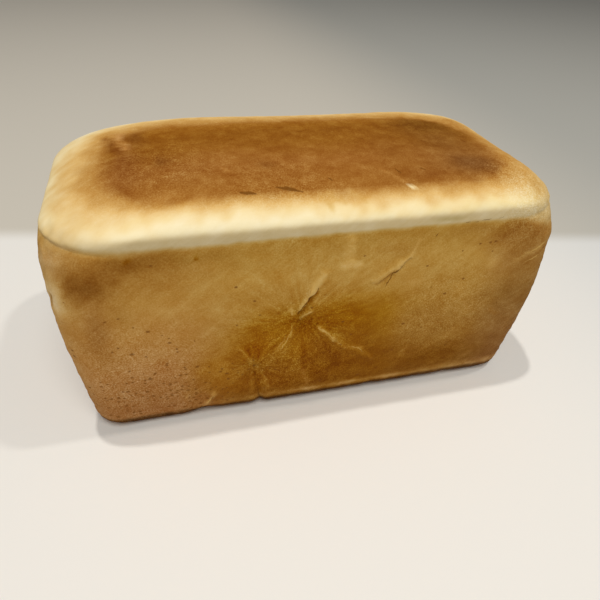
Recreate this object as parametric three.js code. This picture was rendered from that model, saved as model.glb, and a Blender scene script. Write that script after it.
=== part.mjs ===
// A tin loaf of white bread: one solid, baked under a lid in a tapered tin.
// Millimetres, +Z up, standing on its flat base. X runs along the loaf, the
// front is towards -Y, and the origin is the middle of the base.
import * as THREE from "three";
import { mergeVertices } from "three/addons/utils/BufferGeometryUtils.js";

// ---- Driving dimensions ----

const LENGTH = 235; // along X at the crease, where the loaf is longest
const WIDTH = 124; // along Y at the crease
const CREASE_HEIGHT = 102.6; // the line where the dough left the wall of the tin
const RIM_HEIGHT = 118.2; // outer edge of the flat top that met the lid
const TOP_RISE = 2; // how far the middle of the top stands above its edge

// Lean of each wall, in mm per mm of height, given by the tin's draught.
const DRAUGHT = { left: 0.063, right: 0.057, front: 0.049, back: 0.049 };
const WALL_BOW = 1.2; // how far a wall swells out at half its height
const BASE_EDGE_RADIUS = 5.9;
const TIN_CORNER_RADIUS = 12.9; // upright corners, low down
const SHOULDER_CORNER_RADIUS = 34; // upright corners, from the crease up
const CORNER_GROWTH = 8; // power of the height by which the radius grows

// How far the flat top lies inside the crease line on each side.
const SHOULDER_INSET = { left: 39.3, right: 26.9, front: 13.7, back: 17.4 };

// The shoulder's section: x is the share of the inset, y the share of the
// height from crease to rim. The long sides stand up and then turn in
// tightly, and the ends are one even round.
const SIDE_SECTION = sectionCurve([-0.03, 0.48], [-0.03, 0.48]);
const END_SECTION = sectionCurve([-0.02, 0.25], [0.52, 1]);

// On the long sides the slope of the shoulder turns into the flat top over a
// short reach: half the change of slope, and the reach.
const RIM_TURN = { slope: 0.24, reach: 4 };

const CREASE_DEPTH = 0.35; // groove under the shoulder, all the way round
const CREASE_HALF_WIDTH = 1.6;
// At the front left corner the shoulder hangs over the wall in a deeper fold,
// and under the fold the wall bulges.
const CORNER_FOLD = { at: [-110, -50], reach: 14, depth: 0.8 };
const CORNER_BULGE = { at: [-115, -42], reach: 16, z: 88, halfHeight: 7, rise: 2 };

// Pinches and folds in the crust. Each is a straight stroke on one face,
// from end to end, in (x, z) on the front and back and in (y, z) on an end.
// It is raised by rise, or sunk where rise is negative.
const FRONT_STROKES = [
  // the star-shaped pinch, its hollow and the folds that run out of it
  { from: [-17, 61], to: [-11, 57], halfWidth: 7, rise: -1.6 },
  { from: [-14, 68], to: [-6, 82], halfWidth: 3, rise: 1.1 },
  { from: [-17, 54], to: [-21, 42], halfWidth: 3.2, rise: 1 },
  { from: [-4, 53], to: [16, 35], halfWidth: 3.2, rise: 1 },
  // the long slanting split, with the fold of crust above it
  { from: [38, 91], to: [22, 76], halfWidth: 3.5, rise: 1.3 },
  { from: [35, 84], to: [27, 71], halfWidth: 2.4, rise: -1.3 },
  // the lower pinch, which fans out down to the base
  { from: [-35, 34], to: [-34, 31], halfWidth: 4.5, rise: -1.3 },
  { from: [-34, 26], to: [-31, 6], halfWidth: 3, rise: -1.2 },
  // a shallow hollow over the right half
  { from: [58, 70], to: [72, 62], halfWidth: 12, rise: -0.7 },
];
const BACK_STROKES = [
  { from: [24, 66], to: [18, 60], halfWidth: 7, rise: -1.5 },
  { from: [20, 70], to: [8, 86], halfWidth: 3.2, rise: 1.1 },
  { from: [26, 56], to: [36, 38], halfWidth: 3.2, rise: 1 },
  { from: [-40, 30], to: [-44, 6], halfWidth: 3.4, rise: -1.2 },
];
const LEFT_STROKES = [
  { from: [-48, 92], to: [-44, 84], halfWidth: 5, rise: -1.6 },
  { from: [8, 62], to: [-6, 44], halfWidth: 4, rise: -1.2 },
  { from: [12, 66], to: [26, 74], halfWidth: 3.4, rise: 1 },
];
const RIGHT_STROKES = [
  { from: [-40, 88], to: [-18, 80], halfWidth: 3.6, rise: 1.2 },
  { from: [-6, 58], to: [8, 40], halfWidth: 4.4, rise: -1.3 },
];

// Places where the base edge lifted off the tin: centre along the edge, half
// width, height of the lift and how far it reaches in under the loaf.
const FRONT_LIFTS = [
  { at: -58, halfWidth: 5, lift: 1.6 },
  { at: -31, halfWidth: 4, lift: 2.6 },
  { at: 28.5, halfWidth: 6, lift: 1.2 },
  { at: 75, halfWidth: 6, lift: 1 },
];
const BACK_LIFTS = [
  { at: -44, halfWidth: 5, lift: 2.2 },
  { at: 40, halfWidth: 6, lift: 1.4 },
];
const LIFT_REACH = 9;

// ---- Mesh density ----

const CELLS = { length: 52, width: 20, height: 26 };
// Shares of the height cells: base edge, wall, and the rest for the shoulder.
const BASE_EDGE_SHARE = 3 / CELLS.height;
const SHOULDER_SHARE = 7 / CELLS.height;
// Shares of a face's cells that lie on its straight part, between the corners.
const STRAIGHT_SHARE = { long: 0.85, short: 0.7 };
const MIDDLE_SPACING = 0.6; // spacing at a long side's middle, as a share of even

const TOP_MIDDLE = {
  x: (SHOULDER_INSET.left - SHOULDER_INSET.right) / 2,
  y: (SHOULDER_INSET.front - SHOULDER_INSET.back) / 2,
};

// ---- Shape ----

function sectionCurve(lower, upper) {
  return new THREE.CubicBezierCurve(
    new THREE.Vector2(0, 0),
    new THREE.Vector2(...lower),
    new THREE.Vector2(...upper),
    new THREE.Vector2(1, 1),
  );
}

// A rectangle's four sides, inset from the crease line by {left, right, ...}.
function insetBox(inset) {
  return {
    left: -LENGTH / 2 + inset.left,
    right: LENGTH / 2 - inset.right,
    front: -WIDTH / 2 + inset.front,
    back: WIDTH / 2 - inset.back,
  };
}

// Half a straight side, from 0 to 1, with its cells closer at the middle.
function closerAtMiddle(share) {
  return MIDDLE_SPACING * share + (1 - MIDDLE_SPACING) * share ** 3;
}

// The point of a rounded rectangle, and its outward direction, for a place
// (u, v) on the rim of the square from -1 to 1.
function outlinePoint(u, v, box, radius) {
  const onLongSide = Math.abs(v) >= Math.abs(u);
  const place = Math.abs(onLongSide ? u : v);
  const straight = onLongSide ? STRAIGHT_SHARE.long : STRAIGHT_SHARE.short;
  const turn = (Math.max(0, place - straight) / (1 - straight)) * (Math.PI / 4);
  const along = Math.min(1, place / straight);
  const half = {
    x: (box.right - box.left) / 2 - radius,
    y: (box.back - box.front) / 2 - radius,
  };
  const out = onLongSide
    ? { x: Math.sin(turn), y: Math.cos(turn) }
    : { x: Math.cos(turn), y: Math.sin(turn) };
  const inner = onLongSide
    ? { x: half.x * closerAtMiddle(along), y: half.y }
    : { x: half.x, y: half.y * along };
  const sign = { x: Math.sign(u), y: Math.sign(v) };
  return {
    x: (box.left + box.right) / 2 + sign.x * (inner.x + radius * out.x),
    y: (box.front + box.back) / 2 + sign.y * (inner.y + radius * out.y),
    out: new THREE.Vector2(sign.x * out.x, sign.y * out.y),
  };
}

// Inset of each wall, and the corner radius, at a height up to the crease.
function wallAt(z, extraInset) {
  const share = z / CREASE_HEIGHT;
  const bow = WALL_BOW * 4 * share * (1 - share);
  const inset = {};
  for (const [side, draught] of Object.entries(DRAUGHT))
    inset[side] = draught * (CREASE_HEIGHT - z) - bow + extraInset;
  const radius =
    TIN_CORNER_RADIUS +
    (SHOULDER_CORNER_RADIUS - TIN_CORNER_RADIUS) * share ** CORNER_GROWTH;
  return { box: insetBox(inset), radius };
}

// The outer skin for a place (u, v) on the rim of the square, and a share of
// the way up from the edge of the base to the rim of the top.
function skinPoint(u, v, up) {
  if (up <= BASE_EDGE_SHARE) {
    const turn = (up / BASE_EDGE_SHARE) * (Math.PI / 2);
    const z = BASE_EDGE_RADIUS * (1 - Math.cos(turn));
    const { box, radius } = wallAt(z, BASE_EDGE_RADIUS * (1 - Math.sin(turn)));
    return { ...outlinePoint(u, v, box, radius), z, height: 0 };
  }
  if (up <= 1 - SHOULDER_SHARE) {
    const share =
      (up - BASE_EDGE_SHARE) / (1 - SHOULDER_SHARE - BASE_EDGE_SHARE);
    const z = THREE.MathUtils.lerp(BASE_EDGE_RADIUS, CREASE_HEIGHT, share);
    const { box, radius } = wallAt(z, 0);
    return { ...outlinePoint(u, v, box, radius), z, height: 0 };
  }
  const share = (up - 1 + SHOULDER_SHARE) / SHOULDER_SHARE;
  const side = SIDE_SECTION.getPoint(share);
  const end = END_SECTION.getPoint(share);
  const box = insetBox({
    left: SHOULDER_INSET.left * end.x,
    right: SHOULDER_INSET.right * end.x,
    front: SHOULDER_INSET.front * side.x,
    back: SHOULDER_INSET.back * side.x,
  });
  const point = outlinePoint(u, v, box, SHOULDER_CORNER_RADIUS);
  const height = THREE.MathUtils.lerp(side.y, end.y, point.out.x ** 2);
  const level = CREASE_HEIGHT + (RIM_HEIGHT - CREASE_HEIGHT) * height;
  const fromRim = SHOULDER_INSET.front * (1 - side.x);
  const z = level - height * rimDrop(fromRim, point.out);
  return { ...point, z, height };
}

// How far the rounding of the top's edge lowers a point, by its distance from
// the edge and the edge's outward direction.
function rimDrop(distance, out) {
  const { slope, reach } = RIM_TURN;
  return slope * out.y ** 2 * (Math.hypot(distance, reach) - distance);
}

const bell = (distance, halfWidth) => Math.exp(-((distance / halfWidth) ** 2));

function strokeRise(strokes, a, b) {
  let rise = 0;
  for (const stroke of strokes) {
    const [a0, b0] = stroke.from;
    const [da, db] = [stroke.to[0] - a0, stroke.to[1] - b0];
    const share = ((a - a0) * da + (b - b0) * db) / (da * da + db * db);
    const near = THREE.MathUtils.clamp(share, 0, 1);
    const distance = Math.hypot(a - a0 - near * da, b - b0 - near * db);
    rise += stroke.rise * bell(distance, stroke.halfWidth);
  }
  return rise;
}

// How far a wall stands out from its even shape, along its outward direction.
function wallRelief({ x, y, z, out }) {
  const sway =
    0.35 * Math.sin(x / 31 + 1) * Math.cos(z / 24) +
    0.25 * Math.sin(y / 19 + x / 47 + 2);
  const fromCorner = Math.hypot(x - CORNER_FOLD.at[0], y - CORNER_FOLD.at[1]);
  const foldDepth = CORNER_FOLD.depth * bell(fromCorner, CORNER_FOLD.reach);
  const crease =
    (CREASE_DEPTH + foldDepth) * bell(z - CREASE_HEIGHT, CREASE_HALF_WIDTH);
  const { at, reach, halfHeight, rise } = CORNER_BULGE;
  const bulge =
    rise *
    bell(Math.hypot(x - at[0], y - at[1]), reach) *
    bell(z - CORNER_BULGE.z, halfHeight);
  const front = Math.max(0, -out.y) ** 2 * strokeRise(FRONT_STROKES, x, z);
  const back = Math.max(0, out.y) ** 2 * strokeRise(BACK_STROKES, x, z);
  const left = Math.max(0, -out.x) ** 2 * strokeRise(LEFT_STROKES, y, z);
  const right = Math.max(0, out.x) ** 2 * strokeRise(RIGHT_STROKES, y, z);
  return sway - crease + bulge + front + back + left + right;
}

function baseLift({ x, y, z, out }) {
  if (Math.abs(out.y) < 0.5) return 0;
  const lifts = out.y < 0 ? FRONT_LIFTS : BACK_LIFTS;
  let lift = 0;
  for (const place of lifts)
    lift += place.lift * bell(x - place.at, place.halfWidth);
  return lift * Math.max(0, 1 - z / LIFT_REACH);
}

// Soft waves left in the top by the lid.
function topWave(x, y) {
  return 0.5 * Math.sin(x / 23 + 0.6) * Math.cos(y / 17);
}

// Carries a point (u, v, w) of the cube from -1 to 1 onto the loaf. The cube's
// sides become the walls and shoulder, and rings within its top and bottom
// become rings within the loaf's.
function loafPoint({ x: u, y: v, z: w }) {
  const ring = Math.max(Math.abs(u), Math.abs(v));
  const skin =
    ring > 0 ? skinPoint(u / ring, v / ring, (w + 1) / 2) : TOP_MIDDLE;
  if (ring === 1 && w < 1) {
    const relief = wallRelief(skin) * (1 - skin.height);
    return new THREE.Vector3(
      skin.x + relief * skin.out.x,
      skin.y + relief * skin.out.y,
      skin.z + baseLift(skin) + topWave(skin.x, skin.y) * skin.height,
    );
  }
  if (w < 0) return new THREE.Vector3(skin.x * ring, skin.y * ring, 0);
  const x = THREE.MathUtils.lerp(TOP_MIDDLE.x, skin.x, ring);
  const y = THREE.MathUtils.lerp(TOP_MIDDLE.y, skin.y, ring);
  const fromRim = Math.hypot(skin.x - x, skin.y - y);
  const level = RIM_HEIGHT + TOP_RISE * (1 - ring ** 2);
  const z = level + topWave(x, y) - (skin.out ? rimDrop(fromRim, skin.out) : 0);
  return new THREE.Vector3(x, y, z);
}

function loafGeometry() {
  const cube = new THREE.BoxGeometry(
    2,
    2,
    2,
    CELLS.length,
    CELLS.width,
    CELLS.height,
  );
  cube.deleteAttribute("normal");
  cube.deleteAttribute("uv");
  const geometry = mergeVertices(cube);
  const position = geometry.getAttribute("position");
  const corner = new THREE.Vector3();
  for (let i = 0; i < position.count; i++) {
    const point = loafPoint(corner.fromBufferAttribute(position, i));
    position.setXYZ(i, point.x, point.y, point.z);
  }
  // The folds leave the loaf a little off centre, so it is moved back.
  geometry.computeBoundingBox();
  const middle = geometry.boundingBox.getCenter(new THREE.Vector3());
  geometry.translate(-middle.x, -middle.y, 0);
  geometry.computeVertexNormals();
  return geometry;
}

const crust = new THREE.MeshStandardMaterial({
  color: 0xc08a45,
  roughness: 0.85,
  metalness: 0,
});

const loaf = new THREE.Mesh(loafGeometry(), crust);
loaf.name = "loaf";

const part = new THREE.Group();
part.add(loaf);

export default part;
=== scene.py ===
import math

import bmesh
import bpy
import numpy as np
from mathutils import Matrix, Vector, noise


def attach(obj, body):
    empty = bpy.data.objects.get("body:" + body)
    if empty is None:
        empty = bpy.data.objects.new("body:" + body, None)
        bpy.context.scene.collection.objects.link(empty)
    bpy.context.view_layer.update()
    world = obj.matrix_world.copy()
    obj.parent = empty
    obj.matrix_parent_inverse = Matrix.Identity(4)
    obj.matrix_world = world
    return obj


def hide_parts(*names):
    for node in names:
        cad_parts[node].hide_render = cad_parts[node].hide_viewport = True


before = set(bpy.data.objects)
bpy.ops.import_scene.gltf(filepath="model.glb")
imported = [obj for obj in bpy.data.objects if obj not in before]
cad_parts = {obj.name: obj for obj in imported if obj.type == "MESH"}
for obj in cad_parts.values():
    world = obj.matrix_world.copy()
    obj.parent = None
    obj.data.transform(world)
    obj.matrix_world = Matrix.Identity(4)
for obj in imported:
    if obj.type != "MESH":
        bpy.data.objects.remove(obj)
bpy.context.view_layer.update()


# ---- The loaf: its form ----
# One whole white loaf, baked under a lid in a tapered tin. The walls took the
# tin's lean, the top was pressed flat by the lid, and between them the dough
# swelled over the tin's edge into a shoulder, with a crease under it.

# Lengths are millimetres, as in the part's source. The mesh is in metres.
MM = 0.001
LENGTH = 235
WIDTH = 124
CREASE_HEIGHT = 102.6
RIM_HEIGHT = 118.2
TOP_RISE = 2
DRAUGHT = {"left": 0.063, "right": 0.057, "front": 0.049, "back": 0.049}
WALL_BOW = 1.2
BASE_EDGE_RADIUS = 5.9
TIN_CORNER_RADIUS = 12.9
SHOULDER_CORNER_RADIUS = 34
CORNER_GROWTH = 8
SHOULDER_INSET = {"left": 39.3, "right": 26.9, "front": 13.7, "back": 17.4}
SIDE_SECTION = [(0, 0), (-0.03, 0.48), (-0.03, 0.48), (1, 1)]
END_SECTION = [(0, 0), (-0.02, 0.25), (0.52, 1), (1, 1)]
RIM_TURN = {"slope": 0.24, "reach": 4}

# The cube's cells along, across and up. Of those up a wall, some go to the turn
# of the base and some to the shoulder, and the rest crowd towards the crease. Of
# those round the loaf, these shares go to the straight runs between corners.
CELLS = (160, 70, 84)
BASE_EDGE_SHARE = 7 / CELLS[2]
SHOULDER_SHARE = 18 / CELLS[2]
CLOSER_AT_CREASE = 0.35
STRAIGHT_LONG = 0.82
STRAIGHT_SHORT = 0.66

bpy.ops.object.select_all(action="DESELECT")
bpy.ops.mesh.primitive_cube_add(size=2, location=(0, 0, 0))
loaf = bpy.context.object
loaf.name = "loaf_crust"
loaf.data.name = "loaf_crust"


def cut_across(axis, lengths):
    """Cuts every edge that runs along an axis into equal lengths."""
    bpy.context.tool_settings.mesh_select_mode = (False, True, False)
    bpy.ops.object.mode_set(mode="EDIT")
    bpy.ops.mesh.select_all(action="DESELECT")
    edit = bmesh.from_edit_mesh(loaf.data)
    for edge in edit.edges:
        run = edge.verts[1].co - edge.verts[0].co
        edge.select_set(math.isclose(abs(run[axis]), run.length, rel_tol=1e-3))
    bmesh.update_edit_mesh(loaf.data)
    bpy.ops.mesh.subdivide(number_cuts=lengths - 1)
    bpy.ops.object.mode_set(mode="OBJECT")


# An edge takes no more than 100 cuts at once, so it is halved first.
for axis, lengths in enumerate(CELLS):
    cut_across(axis, 2)
    cut_across(axis, lengths // 2)


def rows_of(values, name):
    """Three rows, x, y and z, of a value that each point of a mesh has."""
    flat = np.empty(len(values) * 3)
    values.foreach_get(name, flat)
    return flat.reshape(-1, 3).T


def section(points, share):
    """Inset and height on a four-point curve, at each share of the way along."""
    weights = [
        (1 - share) ** 3,
        3 * share * (1 - share) ** 2,
        3 * share**2 * (1 - share),
        share**3,
    ]
    return [sum(w * p[i] for w, p in zip(weights, points)) for i in (0, 1)]


def outline(u, v, inset, radius):
    """A rounded rectangle, inset from the crease line, and its outward direction."""
    left, right = -LENGTH / 2 + inset["left"], LENGTH / 2 - inset["right"]
    front, back = -WIDTH / 2 + inset["front"], WIDTH / 2 - inset["back"]
    on_long = np.abs(v) >= np.abs(u)
    place = np.where(on_long, np.abs(u), np.abs(v))
    straight = np.where(on_long, STRAIGHT_LONG, STRAIGHT_SHORT)
    turn = np.maximum(0, place - straight) / (1 - straight) * math.pi / 4
    along = np.minimum(1, place / straight)
    half_x = (right - left) / 2 - radius
    half_y = (back - front) / 2 - radius
    out_x = np.sign(u) * np.where(on_long, np.sin(turn), np.cos(turn))
    out_y = np.sign(v) * np.where(on_long, np.cos(turn), np.sin(turn))
    inner_x = np.sign(u) * half_x * np.where(on_long, along, 1)
    inner_y = np.sign(v) * half_y * np.where(on_long, 1, along)
    x = (left + right) / 2 + inner_x + radius * out_x
    y = (front + back) / 2 + inner_y + radius * out_y
    return x, y, out_x, out_y


def press_into_tin(cube):
    """Carries the points of the cube from -1 to 1 onto the loaf."""
    u, v, w = cube
    ring = np.maximum(np.abs(u), np.abs(v))
    safe = np.maximum(ring, 1e-9)
    u, v = np.where(ring > 0, u / safe, 1), np.where(ring > 0, v / safe, 0)
    up = (w + 1) / 2

    turn = np.minimum(1, up / BASE_EDGE_SHARE) * math.pi / 2
    wall_share = (up - BASE_EDGE_SHARE) / (1 - SHOULDER_SHARE - BASE_EDGE_SHARE)
    wall_share = np.clip(wall_share, 0, 1)
    wall_share *= 1 + CLOSER_AT_CREASE * (1 - wall_share)
    low_z = BASE_EDGE_RADIUS * (1 - np.cos(turn))
    z = low_z + (CREASE_HEIGHT - BASE_EDGE_RADIUS) * wall_share
    height = z / CREASE_HEIGHT
    tuck = BASE_EDGE_RADIUS * (1 - np.sin(turn))
    bow = WALL_BOW * 4 * height * (1 - height)

    share = np.clip((up - 1 + SHOULDER_SHARE) / SHOULDER_SHARE, 0, 1)
    side_in, side_up = section(SIDE_SECTION, share)
    end_in, end_up = section(END_SECTION, share)
    shoulder_in = {"left": end_in, "right": end_in, "front": side_in, "back": side_in}

    inset = {}
    for side, draught in DRAUGHT.items():
        inset[side] = draught * (CREASE_HEIGHT - z) - bow + tuck
        inset[side] += SHOULDER_INSET[side] * shoulder_in[side]
    grown = SHOULDER_CORNER_RADIUS - TIN_CORNER_RADIUS
    radius = TIN_CORNER_RADIUS + grown * height**CORNER_GROWTH
    x, y, out_x, out_y = outline(u, v, inset, radius)
    shoulder_up = side_up + (end_up - side_up) * out_x**2
    z = z + (RIM_HEIGHT - CREASE_HEIGHT) * shoulder_up

    on_top = np.isclose(w, 1)
    middle_x = (SHOULDER_INSET["left"] - SHOULDER_INSET["right"]) / 2 * on_top
    middle_y = (SHOULDER_INSET["front"] - SHOULDER_INSET["back"]) / 2 * on_top
    inward = np.hypot(x - middle_x, y - middle_y) * (1 - ring)
    from_rim = np.where(on_top, inward, SHOULDER_INSET["front"] * (1 - side_in))
    drop = RIM_TURN["slope"] * out_y**2 * (np.hypot(from_rim, RIM_TURN["reach"]) - from_rim)
    x = middle_x + (x - middle_x) * ring
    y = middle_y + (y - middle_y) * ring
    z = z + TOP_RISE * (1 - ring**2) * on_top - drop * shoulder_up
    return np.array([x, y, z])


# The skin is finer round the pinches on the front, and along the crease and
# the turn of the shoulder above them, each as its reach in x, y and z.
FINE_PLACES = [
    [(-66, 52), (-70, -50), (3, 101)],
    [(-118, 118), (-70, -36), (97, 108)],
]

for place in FINE_PLACES:
    bpy.context.tool_settings.mesh_select_mode = (False, False, True)
    bpy.ops.object.mode_set(mode="EDIT")
    bpy.ops.mesh.select_all(action="DESELECT")
    edit = bmesh.from_edit_mesh(loaf.data)
    middles = np.array([face.calc_center_median() for face in edit.faces]).T
    pressed = press_into_tin(middles)
    chosen = np.all([(a <= row) & (row <= b) for row, (a, b) in zip(pressed, place)], axis=0)
    for face, choose in zip(edit.faces, chosen):
        face.select_set(bool(choose))
    bmesh.update_edit_mesh(loaf.data)
    bpy.ops.mesh.subdivide(number_cuts=1, smoothness=0)
    bpy.ops.object.mode_set(mode="OBJECT")

pressed = press_into_tin(rows_of(loaf.data.vertices, "co"))
loaf.data.vertices.foreach_set("co", (pressed.T * MM).ravel())
loaf.data.update()


# ---- The loaf: its folds and dents ----
# The crust wrinkled where lengths of dough met in the tin, and lifted from it
# at the base. Each stroke runs from end to end in (x, z) on a long side, or in
# (y, z) on an end, and is raised by rise, or sunk where rise is negative.
CREASE_DEPTH = 0.2
CREASE_HALF_WIDTH = 1.2
CORNER_FOLD = {"at": (-112, -48), "reach": 12, "depth": 0.3}
CREASE_END = {"at": (115, -48), "reach": 18}
# Slow waves, with their rise, their lengths each way and where they start.
WALL_WAVES = {"rise": 0.35, "x": 31, "z": 24, "start": 1}
END_WAVES = {"rise": 0.25, "x": 47, "y": 19, "start": 2}
SHOULDER_WAVES = {"rise": 0.5, "x": 23, "y": 17, "start": 0.6}
# Uneven spots of two sizes. The small ones stand higher at two corners.
LARGE_SPOTS = {"size": 9, "rise": 0.22}
SMALL_SPOTS = {"size": 3, "rise": 0.1, "further": 0.35}
ROUGH_CORNERS = [{"at": (115, -48), "reach": 16}, {"at": (-115, -48), "reach": 12}]
# How patches stray and strokes are jagged, as (size of a spot, shift). Random
# patterns lie this far apart for each step of their seed.
STRAY = [(11, 3), (4, 1.4)]
JAG = [(4, 0.9), (1.8, 0.8)]
SEEDS_APART = (17.3, 5.1, 9.7)
SWELLS = [
    {"at": (-115, -42), "reach": 16, "z": 94, "half_height": 5, "rise": 0.6},
    {"at": (114, -46), "reach": 18, "z": 78, "half_height": 15, "rise": -1.8},
    {"at": (112, -52), "reach": 9, "z": 90, "half_height": 3.5, "rise": 0.8},
    {"at": (-106, 48), "reach": 16, "z": 96, "half_height": 12, "rise": 0.8},
]
FRONT_STROKES = [
    {"from": (-17, 60), "to": (-9, 56), "half_width": 6, "rise": -1.2},
    {"from": (-9, 75), "to": (-4, 83), "half_width": 2.2, "rise": 1},
    {"from": (-14, 65), "to": (-9, 75), "half_width": 1.2, "rise": 0.8},
    {"from": (-13, 62), "to": (-6.5, 74), "half_width": 1.1, "rise": -0.9},
    {"from": (-12.5, 59.5), "to": (-8.5, 63), "half_width": 1.3, "rise": 0.8},
    {"from": (-17, 54), "to": (-21, 42), "half_width": 2.4, "rise": 0.8},
    {"from": (-4, 53), "to": (4, 43.5), "half_width": 1.5, "rise": 0.8},
    {"from": (4, 43.5), "to": (10, 37.5), "half_width": 1.7, "rise": 0.6},
    {"from": (10, 37.5), "to": (26, 26), "half_width": 2, "rise": 0.5},
    {"from": (36, 88), "to": (30, 83.5), "half_width": 1.5, "rise": 0.7},
    {"from": (30, 83.5), "to": (20.5, 77), "half_width": 2.1, "rise": 0.9},
    {"from": (29, 79.5), "to": (22, 73.5), "half_width": 1, "rise": -0.6},
    {"from": (36, 86.5), "to": (29, 78), "half_width": 0.9, "rise": -0.8},
    {"from": (29, 78), "to": (26.5, 72), "half_width": 0.9, "rise": -0.5},
    {"from": (-36, 34), "to": (-33, 31), "half_width": 3.2, "rise": -1.1},
    {"from": (-36, 28), "to": (-37, 10), "half_width": 1.1, "rise": -0.5},
    {"from": (-34, 27), "to": (-31, 4), "half_width": 1.3, "rise": -0.7},
    {"from": (-32, 28), "to": (-26, 12), "half_width": 1.1, "rise": -0.5},
    {"from": (-42, 46), "to": (-36, 35), "half_width": 1.1, "rise": 0.5},
    {"from": (-54, 17), "to": (-59, 8), "half_width": 1.3, "rise": 0.7},
    {"from": (58, 70), "to": (72, 62), "half_width": 12, "rise": -0.6},
    {"from": (6, 99), "to": (7, 94), "half_width": 3, "rise": 0.4},
    {"from": (6, 88), "to": (11, 86), "half_width": 2.2, "rise": 0.4},
    {"from": (62, 69.5), "to": (67, 71), "half_width": 1.4, "rise": -0.4},
    {"from": (27, 22), "to": (31, 8), "half_width": 3, "rise": -0.5},
]
BACK_STROKES = [
    {"from": (24, 66), "to": (18, 60), "half_width": 6, "rise": -1.4},
    {"from": (20, 70), "to": (8, 86), "half_width": 2.2, "rise": 0.9},
    {"from": (26, 56), "to": (36, 38), "half_width": 2.2, "rise": 0.8},
    {"from": (14, 56), "to": (2, 40), "half_width": 2, "rise": 0.7},
    {"from": (-52, 78), "to": (-38, 88), "half_width": 2, "rise": 0.8},
    {"from": (-50, 75), "to": (-38, 84), "half_width": 1.2, "rise": -0.7},
    {"from": (-40, 30), "to": (-44, 6), "half_width": 2, "rise": -0.9},
]
LEFT_STROKES = [
    {"from": (-53, 81), "to": (-51, 76.5), "half_width": 1.8, "rise": -1},
    {"from": (8, 62), "to": (-6, 44), "half_width": 3.4, "rise": -1.2},
    {"from": (12, 66), "to": (26, 74), "half_width": 2.2, "rise": 0.8},
    {"from": (-12, 40), "to": (-24, 30), "half_width": 2.2, "rise": 0.7},
]
RIGHT_STROKES = [
    {"from": (-50, 86), "to": (-34, 80), "half_width": 2.2, "rise": 0.9},
    {"from": (-50, 90.5), "to": (-38, 87), "half_width": 1.4, "rise": -0.7},
    {"from": (-6, 58), "to": (8, 40), "half_width": 3.8, "rise": -1.3},
    {"from": (12, 36), "to": (24, 28), "half_width": 2.2, "rise": 0.7},
]
# Where the base edge lifts along each side. A lift dies out up the wall, and
# inwards under the base, which has no relief of its own below this height.
FLAT_HEIGHT = 0.5
LIFT_REACH = 9
LIFT_INSET = {"none": 43, "full": 50}
LIFTS = {
    "front": [
        {"at": -110, "half_width": 12, "lift": 2},
        {"at": -59, "half_width": 6, "lift": 2.6},
        {"at": -47, "half_width": 7, "lift": 0.8},
        {"at": -31.5, "half_width": 2.6, "lift": 3},
        {"at": 28.5, "half_width": 4, "lift": 1},
        {"at": 30, "half_width": 75, "lift": 1.6},
        {"at": 75, "half_width": 5, "lift": 0.7},
    ],
    "back": [
        {"at": -44, "half_width": 5, "lift": 2.2},
        {"at": 40, "half_width": 6, "lift": 1.4},
    ],
}


def bell(distance, half_width):
    return np.exp(-((distance / half_width) ** 2))


def fade(value, start, end):
    """From 0 at the start to 1 at the end, with soft ends."""
    share = np.clip((value - start) / (end - start), 0, 1)
    return share * share * (3 - 2 * share)


def off_stroke(a, b, start, end):
    """Distance of each (a, b) from a straight stroke."""
    run_a, run_b = end[0] - start[0], end[1] - start[1]
    share = ((a - start[0]) * run_a + (b - start[1]) * run_b) / (run_a**2 + run_b**2)
    share = np.clip(share, 0, 1)
    return np.hypot(a - start[0] - share * run_a, b - start[1] - share * run_b)


def rise_of(strokes, a, b):
    rise = 0
    for stroke in strokes:
        distance = off_stroke(a, b, stroke["from"], stroke["to"])
        rise = rise + stroke["rise"] * bell(distance, stroke["half_width"])
    return rise


def speckle(size, seed):
    """Smooth random values from -1 to 1 over the loaf, alike over about one size."""
    shift = Vector([seed * apart for apart in SEEDS_APART])
    places = zip(x / size, y / size, z / size)
    return np.array([noise.noise(Vector(place) + shift) for place in places])


def shifts(spots, *seeds):
    """Random shifts in millimetres, the sum of spots of a few sizes."""
    return sum(shift * speckle(size, seed) for (size, shift), seed in zip(spots, seeds))


def near(spot):
    """1 at a spot, as seen from above, and less further from it."""
    return bell(np.hypot(x - spot["at"][0], y - spot["at"][1]), spot["reach"])


def crossed(waves, turn):
    """Waves along the loaf, which other waves cross."""
    return waves["rise"] * np.sin(x / waves["x"] + waves["start"]) * np.cos(turn)


x, y, z = pressed
out = rows_of(loaf.data.vertex_normals, "vector")
toward = {
    "front": np.maximum(0, -out[1]) ** 2,
    "back": np.maximum(0, out[1]) ** 2,
    "left": np.maximum(0, -out[0]) ** 2,
    "right": np.maximum(0, out[0]) ** 2,
}
up_shoulder = np.clip((z - CREASE_HEIGHT) / (RIM_HEIGHT - CREASE_HEIGHT), 0, 1)
off_base = z > FLAT_HEIGHT
stray_a, stray_b = shifts(STRAY, 3, 4), shifts(STRAY, 5, 6)
jag_a, jag_b = shifts(JAG, 4, 7), shifts(JAG, 6, 8)

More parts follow.
